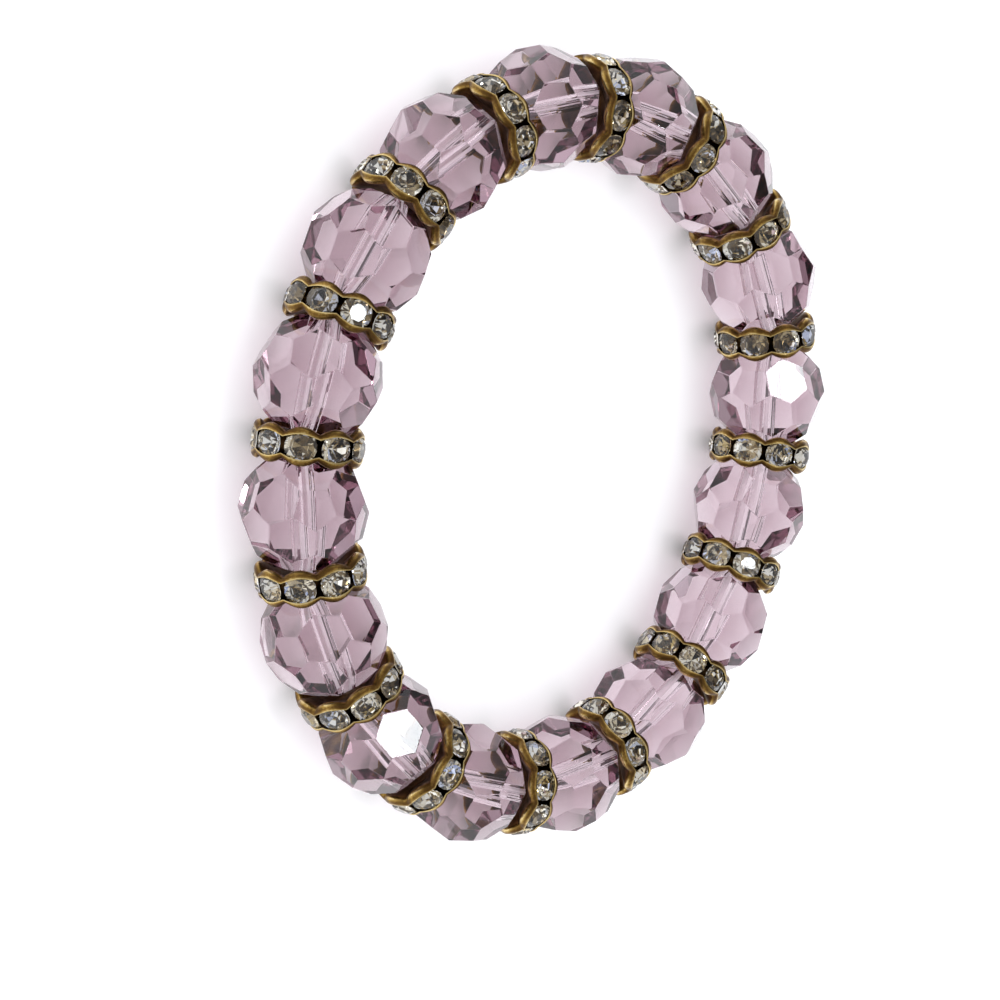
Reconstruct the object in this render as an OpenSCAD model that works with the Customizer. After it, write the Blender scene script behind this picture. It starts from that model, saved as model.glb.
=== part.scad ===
// Stretch bracelet: faceted glass beads and rhinestone rondelles in turn on a loop of elastic.
// It lies on its side: the ring's axis is +Z and the long way of its oval is X.
// Z = 0 is the surface under it. Millimetres and degrees.

/* [Ring] */
// Number of glass beads, with a rondelle after each
bead_count = 16; // [16:1:19]
// Distance from the centre of one bead to the next, along the ring
pitch = 12.2; // [12.2:0.1:12.8]
// How far the ring is drawn out along X, as a share of its radius
oval = 0.09; // [0:0.01:0.1]
// How much blunter one side of the oval is than the other, as a share of its radius
egg = 0.01; // [0:0.005:0.015]

/* [Beads] */
// Diameter of a bead over its corners
bead_d = 12; // [11.6:0.1:12]
// Length of a bead along its hole, between its two ground ends
bead_len = 10.4; // [10:0.1:10.5]
// Diameter of the hole through a bead
bore_d = 1.6; // [1.5:0.1:1.8]

/* [Rondelles] */
// Diameter of a rondelle over its rims
rondelle_d = 10.2; // [10:0.1:10.3]
// Thickness over the rims where they swell round a stone
crest_t = 3.6; // [3.5:0.1:3.8]
// Thickness over the rims where they dip between two stones
waist_t = 2.4; // [2.4:0.1:2.8]
// Thickness of the web round the hole
web_t = 0.5; // [0.4:0.05:0.5]
// Diameter of the hole through a rondelle
hole_d = 2; // [1.9:0.1:2.2]
// Thickness of the metal at the rim
rim_wall = 0.25; // [0.2:0.05:0.25]

/* [Rhinestones] */
// Number of stones round a rondelle
stone_count = 9; // [8:1:9]
// Width of a stone over the corners of its girdle
stone_d = 2.7; // [2.5:0.01:2.7]
// Width of the flat table over its corners
table_d = 1.6; // [1.4:0.1:1.8]
// Height of the crown above the girdle
crown_h = 0.45; // [0.3:0.05:0.5]
// Depth of the pavilion below the girdle
pavilion_h = 1.35; // [1.2:0.05:1.4]

/* [Elastic] */
// Diameter of the clear elastic
thread_d = 0.7; // [0.5:0.1:0.8]

/* [Hidden] */
// A node's name ends in the bead's number, from 01
function label(name, i) = str(name, "_", i < 9 ? "0" : "", i + 1);
BEADS = [0:bead_count - 1];

// How each bead and the rondelle after it happen to be turned on the elastic, in degrees:
// [turn of the bead's facets, turn of the rondelle's stones]
TURNS = [
    [45, 17], [43, 27], [34, 19], [77, 26], [29, 28], [2, 34], [45, 3], [48, 16],
    [26, 19], [12, 7], [66, 33], [84, 5], [8, 9], [71, 34], [88, 11], [48, 23]
];
function bead_turn(i) = TURNS[i % len(TURNS)][0];
function rondelle_turn(i) = TURNS[i % len(TURNS)][1];

$fn = 48;
bore_r = bore_d / 2;
thread_r = thread_d / 2;
play = 0.05;            // least room round the elastic in a bead's hole

// The ring's outline. Points on it are found by walking clockwise, seen from above, from the +X end.
egg_turn = 117;         // where round the ring the blunt side lies
first_bead = -0.82;     // place of the first bead past the +X end, in pitches
walk_step = 2;
function outline(a) = (1 + oval * cos(2 * a) + egg * cos(3 * a + egg_turn)) * [cos(a), sin(a)];
// [distance walked, angle] for an outline of radius 1
WALK = [
    for (a = 0, s = 0; a <= 360; s = s + norm(outline(-a - walk_step) - outline(-a)), a = a + walk_step)
        [s, -a]
];
lap = WALK[len(WALK) - 1][0];
ring_r = bead_count * pitch / lap;
function fraction(x) = x - floor(x);
function walk_at(i) = ring_r * outline(lookup(fraction((i + first_bead) / bead_count) * lap, WALK));

// Each piece has its own axes: X away from the ring's middle, Y up, Z clockwise along the elastic
function unit(v) = v / norm(v);
function facing(way) = atan2(way.x, -way.y);
function outward(way) = [-way.y, way.x] / norm(way);
// Way of the hole through bead i, and of the straight line from it to the next bead
function bead_way(i) = walk_at(i + 1) - walk_at(i - 1);
function link_way(i) = walk_at(i + 1) - walk_at(i);
function lean(bead, link) = acos(unit(bead_way(bead)) * unit(link_way(link)));
// How far outside that line the holes of the two beads meet
function meet(i) = norm(link_way(i)) / 2 * tan((lean(i, i) + lean(i + 1, i)) / 2);

// The football cut: a twenty-sided solid with its corners cut off a third of the way along each edge
golden = (1 + sqrt(5)) / 2;
SOLID = [for (s = [-1, 1], t = [-golden, golden]) each [[0, s, t], [t, 0, s], [s, t, 0]]];
ENDS = [0:len(SOLID) - 1];
solid_edge = 2;
rounding = 0.001;
function joined(a, b) = abs(norm(SOLID[a] - SOLID[b]) - solid_edge) < rounding;
function clockwise(a, b, c) = cross(SOLID[b] - SOLID[a], SOLID[c] - SOLID[a]) * SOLID[a] < 0;
// Corner [a, b] of the cut lies near the solid's corner a, on the edge to its corner b
CORNERS = [for (a = ENDS, b = ENDS) if (joined(a, b)) [a, b]];
function corner(a, b) = search([[a, b]], CORNERS, 0)[0][0];
function first_round(a) = [for (b = ENDS) if (joined(a, b)) b][0];
function next_round(a, b) = [for (c = ENDS) if (joined(a, c) && joined(b, c) && clockwise(a, b, c)) c][0];
function round_end(a, b, left) =
    left == 0 ? [] : [corner(a, b), each round_end(a, next_round(a, b), left - 1)];
PENTAGONS = [for (a = ENDS) round_end(a, first_round(a), 5)];
HEXAGONS = [
    for (a = ENDS, b = ENDS, c = ENDS)
        if (a < b && a < c && joined(a, b) && joined(b, c) && joined(c, a) && clockwise(a, b, c))
            [corner(a, b), corner(b, a), corner(b, c), corner(c, b), corner(c, a), corner(a, c)]
];
// The hole runs through the middle of the hexagon that faces [1, 1, 1], and a pentagon next to it faces X
hole_z = unit([1, 1, 1]);
near_pentagon = [0, 1, golden];
hole_x = unit(near_pentagon - hole_z * (near_pentagon * hole_z));
hole_y = cross(hole_z, hole_x);
function cut_corner(ends) = (2 * SOLID[ends[0]] + SOLID[ends[1]]) / 3;
function to_hole(p) = [p * hole_x, p * hole_y, p * hole_z];
CUT = [for (ends = CORNERS) bead_d / 2 * to_hole(unit(cut_corner(ends)))];

// The beads' corners in the ring, from its outline's own middle: [x, y, z]
function turned(p, a) = [p.x * cos(a) - p.y * sin(a), p.x * sin(a) + p.y * cos(a), p.z];
function in_ring(i, p) =
    let (at = walk_at(i) + p.x * outward(bead_way(i)) + p.z * unit(bead_way(i))) [at.x, at.y, p.y];
REACH = [for (i = BEADS, p = CUT) in_ring(i, turned(p, bead_turn(i)))];
function least(axis) = min([for (p = REACH) p[axis]]);
function most(axis) = max([for (p = REACH) p[axis]]);
// The beads rest on their lowest corners, and the ring's sides lie evenly about the origin
ring_z = -least(2);
middle = [least(0) + most(0), least(1) + most(1)] / 2;
function bead_at(i) = walk_at(i) - middle;

// A rondelle rides a little outside the line between its beads, towards where their holes meet
rondelle_ride = 0.3;
function between(i) = (bead_at(i) + bead_at(i + 1)) / 2;
function rondelle_at(i) = between(i) + rondelle_ride * meet(i) * outward(link_way(i));

// Faces of a closed loop of rings that have the same number of points each
function loop_faces(rings, points) = [
    for (j = [0:rings - 1], k = [0:points - 1])
        let (
            here = points * j,
            there = points * ((j + 1) % rings),
            k2 = (k + 1) % points
        )
            each [[here + k, there + k2, here + k2], [here + k, there + k, there + k2]]
];

module on_ring(at, way) {
    translate([at.x, at.y, ring_z]) rotate([90, 0, facing(way)]) children();
}

module bead(i) {
    color([0.82, 0.69, 0.76, 0.6])
    on_ring(bead_at(i), bead_way(i))
    difference() {
        intersection() {
            rotate([0, 0, bead_turn(i)]) polyhedron(points = CUT, faces = concat(PENTAGONS, HEXAGONS));
            cube([2 * bead_d, 2 * bead_d, bead_len], center = true);
        }
        cylinder(h = bead_d, r = bore_r, center = true);
    }
}

// The rondelle's web, and its two dished flanges with the channel for the stones between them
web_r = 2.9;
flange_in_r = 2.75;
flange_in_z = 0.2;
lip = 0.12;             // how far the rim's outer edge is rounded back
channel_r = 3.3;
channel_z = 0.45;
steps_per_stone = 4;
flange_steps = steps_per_stone * stone_count;
// The rim swells over each stone and dips to a cusp between two
function rim_z(a) = (waist_t + (crest_t - waist_t) * abs(cos(stone_count * a / 2))) / 2;
// Upper half of the cross-section at angle a, from the web out to the rim and back: [radius, height]
function upper(a) = [
    [flange_in_r, flange_in_z],
    [rondelle_d / 2 - lip, rim_z(a)],
    [rondelle_d / 2, rim_z(a) - rim_wall],
    [channel_r, channel_z]
];
function lower(half) = [for (k = [len(half) - 1:-1:0]) [half[k].x, -half[k].y]];
function swung(a, p) = [p.x * cos(a), p.x * sin(a), p.y];
FLANGE_POINTS = [
    for (j = [0:flange_steps - 1])
        let (a = 360 / flange_steps * j)
            for (p = concat(upper(a), lower(upper(a)))) swung(a, p)
];
FLANGE_FACES = loop_faces(flange_steps, 2 * len(upper(0)));

module rondelle(i) {
    color([0.47, 0.37, 0.2])
    on_ring(rondelle_at(i), link_way(i))
    rotate([0, 0, rondelle_turn(i)])
    difference() {
        union() {
            polyhedron(points = FLANGE_POINTS, faces = FLANGE_FACES);
            cylinder(h = web_t, r = web_r, center = true);
        }
        cylinder(h = 2 * web_t, r = hole_d / 2, center = true);
    }
}

// One cut stone with its axis along Z: a flat table, a girdle and a pointed pavilion
stone_sides = 8;
function stone_ring(d, z) = [
    for (k = [0:stone_sides - 1])
        let (a = 360 / stone_sides * (k + 0.5)) [d / 2 * cos(a), d / 2 * sin(a), z]
];
STONE_POINTS = [each stone_ring(table_d, crown_h), each stone_ring(stone_d, 0), [0, 0, -pavilion_h]];
stone_tip = 2 * stone_sides;
STONE_FACES = [
    [for (k = [stone_sides - 1:-1:0]) k],
    for (k = [0:stone_sides - 1])
        let (k2 = (k + 1) % stone_sides)
            each [
                [k, k2, stone_sides + k2, stone_sides + k],
                [stone_sides + k, stone_sides + k2, stone_tip]
            ]
];
girdle_r = 4.8;         // distance of the girdles from the rondelle's axis

module rhinestones(i) {
    color([0.93, 0.92, 0.89])
    on_ring(rondelle_at(i), link_way(i))
    for (k = [0:stone_count - 1])
        rotate([0, 0, rondelle_turn(i) + 360 / stone_count * k])
            translate([girdle_r, 0, 0])
                rotate([0, 90, 0])
                    polyhedron(points = STONE_POINTS, faces = STONE_FACES);
}

// The elastic is pulled straight through each bead, along the side of the hole that faces the ring's
// middle, and bends in the rondelles
thread_sides = 6;
thread_ease = bore_r - thread_r - play;
function in_bead(i, z) = bead_at(i) - thread_ease * outward(bead_way(i)) + z * unit(bead_way(i));
function in_rondelle(i) =
    let (
        ends = (in_bead(i, bead_len / 2) + in_bead(i + 1, -bead_len / 2)) / 2,
        bend = meet(i) - thread_ease - (ends - between(i)) * outward(link_way(i))
    )
        ends + bend / 2 * outward(link_way(i));
ROUTE = [
    for (i = BEADS)
        each [in_bead(i, -bead_len / 2), in_bead(i, bead_len / 2), in_rondelle(i)]
];
stops = len(ROUTE);
function route_way(j) = unit(ROUTE[(j + 1) % stops] - ROUTE[j % stops]);
THREAD_POINTS = [
    for (j = [0:stops - 1], k = [0:thread_sides - 1])
        let (
            a = 360 / thread_sides * k,
            out = thread_r * cos(a) * outward(route_way(j) + route_way(j + stops - 1))
        )
            [ROUTE[j].x + out.x, ROUTE[j].y + out.y, ring_z + thread_r * sin(a)]
];

module thread() {
    color([0.93, 0.93, 0.95])
    polyhedron(points = THREAD_POINTS, faces = loop_faces(stops, thread_sides));
}

for (i = BEADS) {
    bead(i);
    rondelle(i);
    rhinestones(i);
}
thread();
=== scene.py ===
# Stretch bracelet of lilac glass beads and rhinestone rondelles, lying on a pale table
import math
import random

import bmesh
import bpy
from mathutils import Matrix, Vector


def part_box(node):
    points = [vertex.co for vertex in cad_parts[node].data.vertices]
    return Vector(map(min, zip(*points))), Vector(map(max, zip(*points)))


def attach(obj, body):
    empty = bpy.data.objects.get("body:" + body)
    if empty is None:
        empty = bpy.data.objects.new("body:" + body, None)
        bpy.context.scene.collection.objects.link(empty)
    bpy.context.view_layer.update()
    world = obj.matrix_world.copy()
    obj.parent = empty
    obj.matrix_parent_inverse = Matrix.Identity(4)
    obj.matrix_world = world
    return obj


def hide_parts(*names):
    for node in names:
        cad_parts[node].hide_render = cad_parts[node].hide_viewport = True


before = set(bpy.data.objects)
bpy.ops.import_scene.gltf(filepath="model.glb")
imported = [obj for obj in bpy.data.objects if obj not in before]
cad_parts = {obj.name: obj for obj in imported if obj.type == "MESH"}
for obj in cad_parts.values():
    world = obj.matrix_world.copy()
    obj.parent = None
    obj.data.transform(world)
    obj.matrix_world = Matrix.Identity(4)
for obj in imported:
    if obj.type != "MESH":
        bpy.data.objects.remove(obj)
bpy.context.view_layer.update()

MM = 0.001
UP = Vector((0, 0, 1))

# How many beads are on the elastic, and stones round a rondelle
BEAD_COUNT = 16
STONE_COUNT = 9

# Sizes of the real pieces, in millimetres
BEAD_D = 12
BEAD_LEN = 10.4
BORE_D = 1.6
RONDELLE_D = 10.2
CREST_T = 3.6
WAIST_T = 2.4
WEB_T = 0.5
HOLE_D = 2
STONE_D = 3.0
THREAD_D = 0.7

# How far a rondelle rides out from the straight line between two beads to where their holes meet
RONDELLE_RIDE = 0.3

# How each bead and the rondelle after it are turned on the elastic, in degrees
TURNS = [
    (45, 17), (43, 27), (34, 19), (77, 26), (29, 28), (2, 34), (45, 3), (48, 16),
    (26, 19), (12, 7), (66, 33), (84, 5), (8, 9), (71, 34), (88, 11), (48, 23),
]


# The ring, read from the frame
def centre_of(node):
    low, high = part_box(node)
    return (low + high) / 2


BEAD_AT = [centre_of(f"bead_{i + 1:02d}") for i in range(BEAD_COUNT)]


def bead_at(i):
    return BEAD_AT[i % BEAD_COUNT]


def bead_way(i):
    """Along the elastic at a bead."""
    return bead_at(i + 1) - bead_at(i - 1)


def link_way(i):
    """From a bead to the next one."""
    return bead_at(i + 1) - bead_at(i)


def outward(way):
    """Away from the ring's middle, level and square to the elastic."""
    return UP.cross(way).normalized()


def meet(i):
    """How far outside the straight line between two beads their holes meet."""
    lean = bead_way(i).angle(link_way(i)) + bead_way(i + 1).angle(link_way(i))
    return link_way(i).length / 2 * math.tan(lean / 2)


def between(i):
    return (bead_at(i) + bead_at(i + 1)) / 2


def rondelle_at(i):
    return between(i) + RONDELLE_RIDE * meet(i) * outward(link_way(i))


def on_ring(at, way, turn):
    """A piece's place: X away from the ring's middle, Y up, Z along the elastic, then turned about Z."""
    axes = Matrix((outward(way), UP, way.normalized())).transposed().to_4x4()
    return Matrix.Translation(at) @ axes @ Matrix.Rotation(math.radians(turn), 4, "Z")


# Making pieces
def new_piece(name, mesh, place, slot, *nodes):
    """A piece in its place that stands for the named nodes."""
    own = mesh.copy()
    own.transform(place)
    piece = bpy.data.objects.new(name, own)
    bpy.context.scene.collection.objects.link(piece)
    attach(piece, "root")
    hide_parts(*nodes)


def mesh_of(name, bm, *materials):
    """The finished mesh, with its faces turned outward."""
    bmesh.ops.recalc_face_normals(bm, faces=bm.faces)
    mesh = bpy.data.meshes.new(name)
    bm.to_mesh(mesh)
    bm.free()
    for material in materials:
        mesh.materials.append(material)
    return mesh


# Materials
def new_material(name):
    """A material, its node tree, its Principled shader and its output."""
    material = bpy.data.materials.new(name)
    material.use_nodes = True
    nodes = material.node_tree.nodes
    nodes.clear()
    output = nodes.new("ShaderNodeOutputMaterial")
    shader = nodes.new("ShaderNodeBsdfPrincipled")
    material.node_tree.links.new(shader.outputs["BSDF"], output.inputs["Surface"])
    return material, material.node_tree, shader, output


def lets_light_by(tree, shader, output, tint):
    """Shadow and floor light pass straight through, tinted, so that clear pieces cast pale shadows."""
    nodes, links = tree.nodes, tree.links
    path = nodes.new("ShaderNodeLightPath")
    either = nodes.new("ShaderNodeMath")
    either.operation = "MAXIMUM"
    passing = nodes.new("ShaderNodeBsdfTransparent")
    passing.inputs["Color"].default_value = (*tint, 1)
    mix = nodes.new("ShaderNodeMixShader")
    links.new(path.outputs["Is Shadow Ray"], either.inputs[0])
    links.new(path.outputs["Is Diffuse Ray"], either.inputs[1])
    links.new(either.outputs["Value"], mix.inputs["Fac"])
    links.new(shader.outputs["BSDF"], mix.inputs[1])
    links.new(passing.outputs["BSDF"], mix.inputs[2])
    links.new(mix.outputs["Shader"], output.inputs["Surface"])


def fine_marks():
    """Handling marks that several finishes share: broad smudges crossed by fine rubbed streaks."""
    group = bpy.data.node_groups.new("fine_marks", "ShaderNodeTree")
    for name, way in (("Smudge Scale", "INPUT"), ("Streak Scale", "INPUT"), ("Marks", "OUTPUT")):
        group.interface.new_socket(name=name, in_out=way, socket_type="NodeSocketFloat")
    nodes, links = group.nodes, group.links
    given = nodes.new("NodeGroupInput")
    result = nodes.new("NodeGroupOutput")
    place = nodes.new("ShaderNodeTexCoord")
    smudge = nodes.new("ShaderNodeTexNoise")
    smudge.inputs["Detail"].default_value = 3
    streak = nodes.new("ShaderNodeTexNoise")
    streak.inputs["Detail"].default_value = 2
    streak.inputs["Distortion"].default_value = 1.5
    both = nodes.new("ShaderNodeMath")
    both.operation = "MULTIPLY"
    full_range = nodes.new("ShaderNodeMapRange")
    full_range.inputs["From Min"].default_value = 0.18
    full_range.inputs["From Max"].default_value = 0.42
    for noise, scale in ((smudge, "Smudge Scale"), (streak, "Streak Scale")):
        links.new(place.outputs["Object"], noise.inputs["Vector"])
        links.new(given.outputs[scale], noise.inputs["Scale"])
    links.new(smudge.outputs["Fac"], both.inputs[0])
    links.new(streak.outputs["Fac"], both.inputs[1])
    links.new(both.outputs["Value"], full_range.inputs["Value"])
    links.new(full_range.outputs["Result"], result.inputs["Marks"])
    return group


FINE_MARKS = fine_marks()


def marks_in(tree, smudge_scale, streak_scale):
    """The handling marks as a mask from 0 to 1."""
    node = tree.nodes.new("ShaderNodeGroup")
    node.node_tree = FINE_MARKS
    node.inputs["Smudge Scale"].default_value = smudge_scale
    node.inputs["Streak Scale"].default_value = streak_scale
    return node.outputs["Marks"]


def spread(tree, value, low, high):
    """A mask from 0 to 1 spread between two values."""
    node = tree.nodes.new("ShaderNodeMapRange")
    node.inputs["To Min"].default_value = low
    node.inputs["To Max"].default_value = high
    tree.links.new(value, node.inputs["Value"])
    return node.outputs["Result"]


def lilac_glass():
    """Clear glass whose tint deepens with the way that light takes through it."""
    material, tree, shader, output = new_material("lilac_glass")
    shader.inputs["Base Color"].default_value = (1, 1, 1, 1)
    shader.inputs["IOR"].default_value = 1.54
    shader.inputs["Transmission Weight"].default_value = 1.0
    shader.inputs["Specular IOR Level"].default_value = 0.62
    marks = marks_in(tree, smudge_scale=260, streak_scale=1500)
    tree.links.new(spread(tree, marks, low=0.0, high=0.035), shader.inputs["Roughness"])
    body = tree.nodes.new("ShaderNodeVolumeAbsorption")
    body.inputs["Color"].default_value = (0.68, 0.512, 0.578, 1)
    body.inputs["Density"].default_value = 141.0
    tree.links.new(body.outputs["Volume"], output.inputs["Volume"])
    lets_light_by(tree, shader, output, tint=(0.995, 0.985, 0.99))
    return material


def stone_glass():
    """The clear cut glass of the rhinestones."""
    material, tree, shader, output = new_material("clear_stone")
    shader.inputs["Base Color"].default_value = (0.99, 0.985, 0.96, 1)
    shader.inputs["IOR"].default_value = 1.6
    shader.inputs["Transmission Weight"].default_value = 1.0
    marks = marks_in(tree, smudge_scale=700, streak_scale=3000)
    tree.links.new(spread(tree, marks, low=0.0, high=0.04), shader.inputs["Roughness"])
    lets_light_by(tree, shader, output, tint=(0.95, 0.95, 0.93))
    return material


def colour_ramp(tree, value, *stops):
    """Colours along a value, from stops of (position, colour) in rising order."""
    node = tree.nodes.new("ShaderNodeValToRGB")
    ramp = node.color_ramp
    for element, (position, colour) in zip(ramp.elements, (stops[0], stops[-1])):
        element.position = position
        element.color = (*colour, 1)
    for position, colour in stops[1:-1]:
        ramp.elements.new(position).color = (*colour, 1)
    tree.links.new(value, node.inputs["Fac"])
    return node.outputs["Color"]


def stone_foil():
    """Foil behind the stones, tarnished by a different amount behind each facet; its white facets also
    stand in for glints, and its gold and blue facets are painted glints.
    """
    material, tree, shader, _ = new_material("silver_foil")
    tarnish_and_glint = tree.nodes.new("ShaderNodeAttribute")
    tarnish_and_glint.attribute_name = "tarnish_and_glint"
    # Tarnish from white silver to dark brown; the white also stands in for glints, and the gold and blue
    # stops are painted glints
    tone = colour_ramp(
        tree,
        tarnish_and_glint.outputs["Fac"],
        (0.0, (0.97, 0.97, 0.95)),
        (0.38, (0.90, 0.86, 0.76)),
        (0.48, (0.52, 0.43, 0.28)),
        (0.62, (0.19, 0.135, 0.07)),
        (0.86, (0.055, 0.04, 0.022)),
        (0.90, (0.66, 0.52, 0.25)),
        (0.96, (0.62, 0.68, 0.88)),
    )
    tree.links.new(tone, shader.inputs["Base Color"])
    shader.inputs["Metallic"].default_value = 1.0
    roughness = spread(tree, tarnish_and_glint.outputs["Fac"], low=0.01, high=0.05)
    tree.links.new(roughness, shader.inputs["Roughness"])
    return material


def antique_brass():
    """Brass, dark where the patina stays and bright where it is rubbed off, with a painted highlight of
    bright gold on the rim over each stone.
    """
    material, tree, shader, _ = new_material("antique_brass")
    shader.inputs["Metallic"].default_value = 1.0
    nodes, links = tree.nodes, tree.links
    worn_and_highlit = nodes.new("ShaderNodeAttribute")
    worn_and_highlit.attribute_name = "worn_and_highlit"
    marks = marks_in(tree, smudge_scale=900, streak_scale=4200)
    marks_share = 0.38
    wear_and_highlight = nodes.new("ShaderNodeMath")
    wear_and_highlight.operation = "MULTIPLY_ADD"
    wear_and_highlight.inputs[1].default_value = marks_share
    links.new(marks, wear_and_highlight.inputs[0])
    links.new(worn_and_highlit.outputs["Fac"], wear_and_highlight.inputs[2])
    # Painted highlight: high values over each stone turn the rim bright gold
    tone = colour_ramp(
        tree,
        wear_and_highlight.outputs["Value"],
        (0.08, (0.07, 0.034, 0.011)),
        (0.40, (0.145, 0.078, 0.02)),
        (0.72, (0.37, 0.23, 0.058)),
        (1.0, (0.72, 0.56, 0.26)),
    )
    links.new(tone, shader.inputs["Base Color"])
    roughness = spread(tree, wear_and_highlight.outputs["Value"], low=0.48, high=0.25)
    links.new(roughness, shader.inputs["Roughness"])
    pits = nodes.new("ShaderNodeTexNoise")
    pits.inputs["Scale"].default_value = 2600
    pits.inputs["Detail"].default_value = 3
    place = nodes.new("ShaderNodeTexCoord")
    links.new(place.outputs["Object"], pits.inputs["Vector"])
    bump = nodes.new("ShaderNodeBump")
    bump.inputs["Strength"].default_value = 0.35
    bump.inputs["Distance"].default_value = 0.02 * MM
    links.new(pits.outputs["Fac"], bump.inputs["Height"])
    links.new(bump.outputs["Normal"], shader.inputs["Normal"])
    return material


def clear_elastic():
    """The elastic: clear, a little milky."""
    material, tree, shader, output = new_material("clear_elastic")
    shader.inputs["Base Color"].default_value = (0.96, 0.945, 0.95, 1)
    shader.inputs["IOR"].default_value = 1.45
    shader.inputs["Transmission Weight"].default_value = 0.35
    marks = marks_in(tree, smudge_scale=500, streak_scale=2500)
    tree.links.new(spread(tree, marks, low=0.1, high=0.3), shader.inputs["Roughness"])
    lets_light_by(tree, shader, output, tint=(0.95, 0.95, 0.95))
    return material


# The glass beads: a football cut, ground flat at both ends of its hole
EDGE_BEVEL = 0.05
FLAT_WITHIN = math.radians(2)


def football_corners():
    """The sixty corners, a third and two thirds of the way along an icosahedron's edges.

    They are in the bead's own axes, whose Z runs along the hole through the middles of two hexagons.
    """
    golden = (1 + math.sqrt(5)) / 2
    edge = 2
    near_enough = 0.001
    tips = [
        Vector(p)
        for s in (-1, 1)
        for t in (-golden, golden)
        for p in ((0, s, t), (t, 0, s), (s, t, 0))
    ]
    hole = Vector((1, 1, 1)).normalized()
    side = Vector((0, 1, golden))
    side = (side - side.dot(hole) * hole).normalized()
    to_hole = Matrix((side, hole.cross(side), hole))
    return [
        to_hole @ ((2 * a + b) / 3).normalized() * (BEAD_D / 2 * MM)
        for a in tips
        for b in tips
        if abs((a - b).length - edge) < near_enough
    ]


def bead_mesh(glass):
    """The cut bead, with softened edges and its hole."""
    bm = bmesh.new()
    corners = [bm.verts.new(p) for p in football_corners()]
    bmesh.ops.convex_hull(bm, input=corners)
    for end in (-1, 1):
        geometry = bm.verts[:] + bm.edges[:] + bm.faces[:]
        cut = bmesh.ops.bisect_plane(
            bm,
            geom=geometry,
            plane_co=(0, 0, end * BEAD_LEN / 2 * MM),
            plane_no=(0, 0, end),
            clear_outer=True,
        )
        rim = [e for e in cut["geom_cut"] if isinstance(e, bmesh.types.BMEdge)]
        bmesh.ops.edgeloop_fill(bm, edges=rim)
    bmesh.ops.dissolve_limit(bm, angle_limit=FLAT_WITHIN, verts=bm.verts[:], edges=bm.edges[:])
    bmesh.ops.bevel(
        bm,
        geom=bm.edges[:],
        offset=EDGE_BEVEL * MM,
        segments=2,
        profile=0.5,
        affect="EDGES",
        clamp_overlap=True,
    )
    mesh = mesh_of("bead", bm, glass)
    return drilled(mesh, BORE_D / 2 * MM, BEAD_D * MM)


def bore_bit(radius, depth):
    """The drill: straight all along, with narrow flats of uneven width and depth."""
    bm = bmesh.new()
    sides = 40
    uneven_width = 0.28
    uneven_depth = 0.02
    width_beat = 7.3
    depth_beat = 4.1
    ends = []
    for z in (-depth / 2, depth / 2):
        ring = []
        for k in range(sides):
            a = 2 * math.pi * (k + uneven_width * math.sin(width_beat * k)) / sides
            r = radius * (1 - uneven_depth + uneven_depth * math.sin(depth_beat * k + 1))
            ring.append(bm.verts.new((r * math.cos(a), r * math.sin(a), z)))
        ends.append(ring)
    bm.faces.new(ends[0])
    bm.faces.new(ends[1])
    for k in range(sides):
        k2 = (k + 1) % sides
        bm.faces.new((ends[0][k], ends[0][k2], ends[1][k2], ends[1][k]))
    return mesh_of("drill", bm)


def drilled(mesh, radius, depth):
    """The mesh with a hole along Z."""
    blank = bpy.data.objects.new("blank", mesh)
    drill = bpy.data.objects.new("drill", bore_bit(radius, depth))
    for helper in (blank, drill):
        bpy.context.scene.collection.objects.link(helper)
    cut = blank.modifiers.new("hole", "BOOLEAN")
    cut.operation = "DIFFERENCE"
    cut.solver = "EXACT"
    cut.object = drill
    shapes = bpy.context.evaluated_depsgraph_get()
    done = bpy.data.meshes.new_from_object(blank.evaluated_get(shapes))
    for helper in (blank, drill):
        bpy.data.objects.remove(helper)
    return done


def make_beads(glass):
    mesh = bead_mesh(glass)
    for i, (bead_turn, _) in enumerate(TURNS):
        place = on_ring(bead_at(i), bead_way(i), bead_turn)
        node = f"bead_{i + 1:02d}"
        new_piece(f"glass_{node}", mesh, place, "lilac_glass", node)


# The rondelles: a pressed brass spool whose two flanges swell over each stone
FLAT_R = 1.8
FLARE_R = 2.6
CROWN_R = 4.5
EDGE_R = RONDELLE_D / 2
WALL_T = 0.16
LIP_T = 0.11
LIP_DROP = 0.01
LOWEST_UNDERSIDE = 0.12
STEPS_PER_STONE = 12

# Height of the rim's roll: between two stones, and how much more over a stone
ROLL_BETWEEN = 0.45
MORE_ROLL_OVER = 0.2

# Wear, from 0 where the patina stays to 1 where it is rubbed off; over each stone it also carries a
# painted highlight
HOLE_WEAR = 0.3
WEB_WEAR = 0.15
DISH_WEAR = 0.4
LIP_WEAR = 0.8
UNDERSIDE_WEAR = 0.1

# Wear down the rim's roll, from crown to edge: between two stones, and how much more over a stone, which
# is partly wear and partly a painted highlight on the swell
WEAR_BETWEEN = (0.55, 0.32, 0.12, 0.08, 0.35, 0.95)
MORE_WEAR_AND_HIGHLIGHT_OVER = (0.4, 0.42, 0.3, 0.2, 0.2, 0.05)


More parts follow.
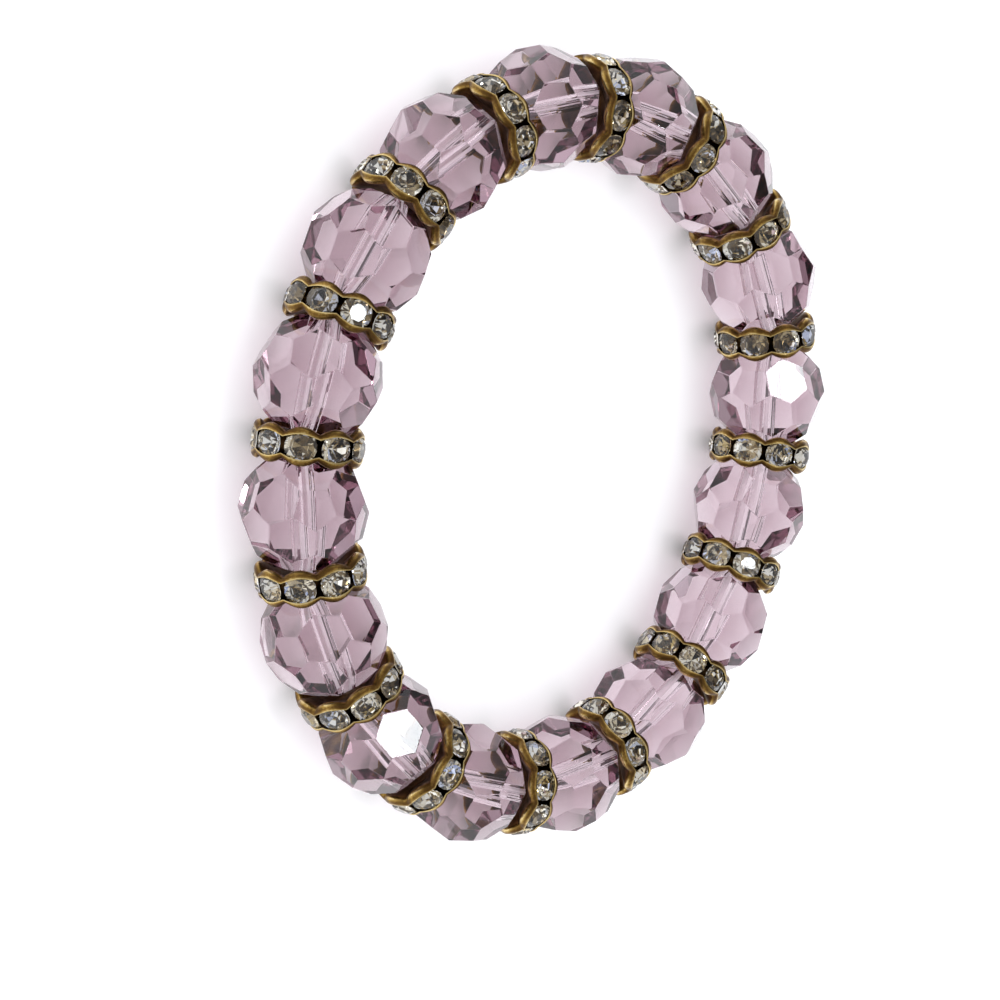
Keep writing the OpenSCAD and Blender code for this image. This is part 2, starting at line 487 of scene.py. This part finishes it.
def flange_profile(a):
    """Half of the cross-section at angle a, from the hole out over the rim and back under it.

    Each point is its radius, its height over the middle of the web, and its wear, which over each stone
    is partly a painted highlight.
    """
    swell = abs(math.cos(STONE_COUNT * a / 2))
    rim = (WAIST_T + (CREST_T - WAIST_T) * swell) / 2
    web = WEB_T / 2
    roll = ROLL_BETWEEN + MORE_ROLL_OVER * swell
    shoulder = rim - roll

    def dish(share):
        """Height of the dished face, a share of the way from the web to the crown."""
        return web + (rim - web) * (0.8 * share + 0.2 * math.sin(share * math.pi / 2))

    points = [(HOLE_D / 2, web, HOLE_WEAR), (FLAT_R, web, WEB_WEAR), (FLARE_R, web, 0.0)]
    dish_steps = 7
    for k in range(1, dish_steps + 1):
        share = k / dish_steps
        radius = FLARE_R + (CROWN_R - FLARE_R) * share
        points.append((radius, dish(share), DISH_WEAR * share ** 5))
    for k, (between_stones, over_stone) in enumerate(zip(WEAR_BETWEEN, MORE_WEAR_AND_HIGHLIGHT_OVER), start=1):
        t = math.pi / 2 * (1 - k / len(WEAR_BETWEEN))
        radius = CROWN_R + (EDGE_R - CROWN_R) * math.cos(t)
        # Over a stone the swell adds a painted highlight to the wear
        wear_and_highlight = between_stones + over_stone * swell ** 2
        points.append((radius, shoulder + roll * math.sin(t), wear_and_highlight))
    points.append((EDGE_R - LIP_T, shoulder - LIP_DROP, LIP_WEAR))
    under_steps = 4
    for k in range(1, under_steps + 1):
        t = math.pi / 2 * k / under_steps
        radius = CROWN_R + (EDGE_R - LIP_T - CROWN_R) * math.cos(t)
        points.append((radius, shoulder + (roll - WALL_T) * math.sin(t), UNDERSIDE_WEAR))
    for share in (0.75, 0.5, 0.25):
        radius = FLARE_R + (CROWN_R - FLARE_R) * share
        points.append((radius, max(LOWEST_UNDERSIDE, dish(share) - WALL_T * 1.3), 0.0))
    return points


def rondelle_mesh(brass):
    """The cross-section carried round the hole, and its mirror image below."""
    bm = bmesh.new()
    worn_and_highlit = bm.verts.layers.float.new("worn_and_highlit")
    steps = STEPS_PER_STONE * STONE_COUNT
    loops = []
    for j in range(steps):
        a = 2 * math.pi * j / steps
        upper = flange_profile(a)
        lower = [(radius, -height, wear_and_highlight) for radius, height, wear_and_highlight in reversed(upper)]
        loop = []
        for radius, height, wear_and_highlight in upper + lower:
            vert = bm.verts.new((radius * MM * math.cos(a), radius * MM * math.sin(a), height * MM))
            vert[worn_and_highlit] = wear_and_highlight
            loop.append(vert)
        loops.append(loop)
    count = len(loops[0])
    for j in range(steps):
        here, there = loops[j], loops[(j + 1) % steps]
        for k in range(count):
            k2 = (k + 1) % count
            bm.faces.new((here[k], there[k], there[k2], here[k2])).smooth = True
    return mesh_of("rondelle", bm, brass)


def make_rondelles(brass):
    mesh = rondelle_mesh(brass)
    for i, (_, rondelle_turn) in enumerate(TURNS):
        place = on_ring(rondelle_at(i), link_way(i), rondelle_turn)
        node = f"rondelle_{i + 1:02d}"
        new_piece(f"brass_{node}", mesh, place, "antique_brass", node)


# The rhinestones: table, stars, kites and upper facets over a girdle, and a foiled pavilion
STONES_AT_R = 4.7
STONE_SIDES = 8
TABLE_R = 0.27 * STONE_D
KITE_R = 0.37 * STONE_D
GIRDLE_R = 0.5 * STONE_D
PAVILION_R = 0.56 * GIRDLE_R
CROWN_H = 0.45
KITE_H = 0.22
GIRDLE_H = 0.07
PAVILION_H = 1.3


def add_stone(bm, tarnish_and_glint, place, chance):
    """One stone; its pavilion is foiled, and chance gives each facet of the foil its tarnish and painted
    glint.
    """

    def ring(radius, height, count, shift=0.0):
        verts = []
        for k in range(count):
            a = 2 * math.pi * (k + shift) / count
            point = Vector((radius * MM * math.cos(a), radius * MM * math.sin(a), height * MM))
            verts.append(bm.verts.new(place @ point))
        return verts

    n = STONE_SIDES
    table = ring(TABLE_R, GIRDLE_H + CROWN_H, n)
    kites = ring(KITE_R, GIRDLE_H + KITE_H, n, shift=0.5)
    top = ring(GIRDLE_R, GIRDLE_H, 2 * n)
    low = ring(GIRDLE_R, 0, 2 * n)
    middle = ring(PAVILION_R, -0.5 * PAVILION_H, n)
    tip = bm.verts.new(place @ Vector((0, 0, -PAVILION_H * MM)))
    bm.faces.new(table)
    for k in range(n):
        k2 = (k + 1) % n
        here, half, there = 2 * k, 2 * k + 1, (2 * k + 2) % (2 * n)
        bm.faces.new((table[k], kites[k], table[k2]))
        bm.faces.new((kites[k], top[here], top[half]))
        bm.faces.new((kites[k], top[half], top[there]))
        bm.faces.new((table[k2], kites[k], top[there], kites[k2]))
        bm.faces.new((top[here], top[half], low[half], low[here]))
        bm.faces.new((top[half], top[there], low[there], low[half]))
        for corners in (
            (low[here], low[half], middle[k]),
            (low[half], low[there], middle[k2]),
            (low[half], middle[k2], middle[k]),
            (middle[k], middle[k2], tip),
        ):
            foil = bm.faces.new(corners)
            foil.material_index = 1
            foil[tarnish_and_glint] = chance.random()


def stones_mesh(glass, foil, seed):
    """The stones of one rondelle, in its axes, each turned by chance in its seat."""
    bm = bmesh.new()
    tarnish_and_glint = bm.faces.layers.float.new("tarnish_and_glint")
    chance = random.Random(seed)
    one_side = 2 * math.pi / STONE_SIDES
    out_to_seat = Matrix.Translation((STONES_AT_R * MM, 0, 0))
    face_out = Matrix.Rotation(math.pi / 2, 4, "Y")
    for k in range(STONE_COUNT):
        round_ring = Matrix.Rotation(2 * math.pi * k / STONE_COUNT, 4, "Z")
        turn = Matrix.Rotation(chance.uniform(0, one_side), 4, "Z")
        add_stone(bm, tarnish_and_glint, round_ring @ out_to_seat @ face_out @ turn, chance)
    return mesh_of("rhinestones", bm, glass, foil)


def make_rhinestones(glass, foil):
    for i, (_, rondelle_turn) in enumerate(TURNS):
        mesh = stones_mesh(glass, foil, seed=i)
        place = on_ring(rondelle_at(i), link_way(i), rondelle_turn)
        node = f"rhinestones_{i + 1:02d}"
        new_piece(f"cut_{node}", mesh, place, "clear_stone", node)


# The elastic, pulled straight through each bead along the side of its hole nearest the ring's middle
THREAD_PLAY = 0.05
THREAD_SIDES = 12


def thread_route():
    """Points along the elastic: three in each bead and one in each rondelle."""
    ease = (BORE_D / 2 - THREAD_D / 2 - THREAD_PLAY) * MM
    half = BEAD_LEN / 2 * MM

    def in_bead(i, z):
        return bead_at(i) - ease * outward(bead_way(i)) + z * bead_way(i).normalized()

    points = []
    for i in range(BEAD_COUNT):
        ends = (in_bead(i, half) + in_bead(i + 1, -half)) / 2
        out = outward(link_way(i))
        bend = meet(i) - ease - (ends - between(i)).dot(out)
        points += [in_bead(i, -half), in_bead(i, 0), in_bead(i, half), ends + bend / 2 * out]
    return points


def make_thread(elastic):
    points = thread_route()
    radius = THREAD_D / 2 * MM
    bm = bmesh.new()
    loops = []
    for j, at in enumerate(points):
        before, after = points[j - 1], points[(j + 1) % len(points)]
        way = (after - at).normalized() + (at - before).normalized()
        out = outward(way)
        loop = []
        for k in range(THREAD_SIDES):
            a = 2 * math.pi * k / THREAD_SIDES
            loop.append(bm.verts.new(at + radius * math.cos(a) * out + radius * math.sin(a) * UP))
        loops.append(loop)
    for j, here in enumerate(loops):
        there = loops[(j + 1) % len(loops)]
        for k in range(THREAD_SIDES):
            k2 = (k + 1) % THREAD_SIDES
            bm.faces.new((here[k], there[k], there[k2], here[k2])).smooth = True
    mesh = mesh_of("elastic", bm, elastic)
    new_piece("elastic_loop", mesh, Matrix.Identity(4), "clear_elastic", "thread")


# The pale table, which glows faintly
TABLE_HALF_M = 3


def make_table():
    bm = bmesh.new()
    bmesh.ops.create_grid(bm, x_segments=1, y_segments=1, size=TABLE_HALF_M)
    material, _, shader, _ = new_material("pale_table")
    shader.inputs["Base Color"].default_value = (0.90, 0.90, 0.90, 1)
    shader.inputs["Roughness"].default_value = 0.6
    shader.inputs["Emission Color"].default_value = (1, 1, 1, 1)
    shader.inputs["Emission Strength"].default_value = 0.12
    table = bpy.data.objects.new("pale_table", mesh_of("pale_table", bm, material))
    bpy.context.scene.collection.objects.link(table)


# Studio light, in a room whose walls glow more than its ceiling and have one dark opening
DARK_OPENING = Vector((0.3, -0.8, 0.5)).normalized()
OPENING_EDGE = 0.77
OPENING_HEART = 0.93
OPENING_GLOW = 0.27


def softbox(name, aim, way, distance, width, height, glow):
    """A lamp that hangs the given way from aim and faces it; glow is how bright its face is."""
    light = bpy.data.lights.new(name, "AREA")
    light.shape = "RECTANGLE"
    light.size = width
    light.size_y = height
    light.energy = glow * math.pi * width * height
    light.color = (0.94, 0.97, 1.0)
    lamp = bpy.data.objects.new(name, light)
    bpy.context.scene.collection.objects.link(lamp)
    way = Vector(way).normalized()
    lamp.location = Vector(aim) + way * distance
    lamp.rotation_mode = "QUATERNION"
    lamp.rotation_quaternion = way.to_track_quat("Z", "Y")
    lamp.visible_camera = False
    return lamp


def light_the_room():
    """The room as the pieces mirror it; the camera sees a plain pale one."""
    world = bpy.data.worlds.new("studio")
    bpy.context.scene.world = world
    world.use_nodes = True
    tree = world.node_tree
    nodes, links = tree.nodes, tree.links
    nodes.clear()
    output = nodes.new("ShaderNodeOutputWorld")
    room = nodes.new("ShaderNodeBackground")
    way = nodes.new("ShaderNodeTexCoord")
    parts = nodes.new("ShaderNodeSeparateXYZ")
    links.new(way.outputs["Generated"], parts.inputs["Vector"])
    walls = colour_ramp(
        tree,
        parts.outputs["Z"],
        (0.0, (1.16, 1.17, 1.24)),
        (0.25, (1.0, 1.01, 1.06)),
        (0.45, (0.66, 0.66, 0.68)),
        (1.0, (0.62, 0.62, 0.64)),
    )
    links.new(walls, room.inputs["Color"])
    toward_opening = nodes.new("ShaderNodeVectorMath")
    toward_opening.operation = "DOT_PRODUCT"
    toward_opening.inputs[1].default_value = DARK_OPENING
    links.new(way.outputs["Generated"], toward_opening.inputs[0])
    strength = nodes.new("ShaderNodeMapRange")
    strength.interpolation_type = "SMOOTHSTEP"
    strength.inputs["From Min"].default_value = OPENING_EDGE
    strength.inputs["From Max"].default_value = OPENING_HEART
    strength.inputs["To Min"].default_value = 1.0
    strength.inputs["To Max"].default_value = OPENING_GLOW
    links.new(toward_opening.outputs["Value"], strength.inputs["Value"])
    links.new(strength.outputs["Result"], room.inputs["Strength"])
    pale = nodes.new("ShaderNodeBackground")
    pale.inputs["Color"].default_value = (0.92, 0.92, 0.925, 1)
    path = nodes.new("ShaderNodeLightPath")
    mix = nodes.new("ShaderNodeMixShader")
    links.new(path.outputs["Is Camera Ray"], mix.inputs["Fac"])
    links.new(room.outputs["Background"], mix.inputs[1])
    links.new(pale.outputs["Background"], mix.inputs[2])
    links.new(mix.outputs["Shader"], output.inputs["Surface"])


def hang_lamps():
    """Two small lamps, each of which shines white in a facet of one bead, and a broad fill."""
    way = (0.158, -0.035, 0.987)
    softbox("overhead", bead_at(10), way, distance=0.8, width=0.07, height=0.07, glow=20)
    way = (0.491, 0.04, 0.87)
    softbox("far_end", bead_at(4), way, distance=0.8, width=0.06, height=0.06, glow=15)
    way = (0, -0.2, 1)
    fill = softbox("fill", (0, 0, 0), way, distance=1.2, width=2.4, height=2.4, glow=1.35)
    fill.visible_glossy = False
    fill.visible_transmission = False


# The camera, at the photograph's angle
CAMERA_AT = (0.0014, 0.1538, 0.1956)
CAMERA_BACK = Vector((0.0300, 0.6183, 0.7854)).normalized()
CAMERA_RIGHT = Vector((0.2036, -0.7731, 0.6008))


def make_camera():
    data = bpy.data.cameras.new("camera")
    data.lens = 90
    data.sensor_width = 36
    data.clip_start = 0.01
    data.clip_end = 20
    camera = bpy.data.objects.new("camera", data)
    bpy.context.scene.collection.objects.link(camera)
    right = (CAMERA_RIGHT - CAMERA_RIGHT.dot(CAMERA_BACK) * CAMERA_BACK).normalized()
    axes = Matrix((right, CAMERA_BACK.cross(right), CAMERA_BACK)).transposed().to_4x4()
    camera.matrix_world = Matrix.Translation(CAMERA_AT) @ axes
    bpy.context.scene.camera = camera


make_camera()
make_beads(lilac_glass())
make_rondelles(antique_brass())
make_rhinestones(stone_glass(), stone_foil())
make_thread(clear_elastic())
make_table()
light_the_room()
hang_lamps()

# Light takes many turns inside the cut glass
scene = bpy.context.scene
scene.view_settings.view_transform = "Standard"
scene.cycles.max_bounces = 32
scene.cycles.transmission_bounces = 32
scene.cycles.glossy_bounces = 16
scene.cycles.transparent_max_bounces = 32
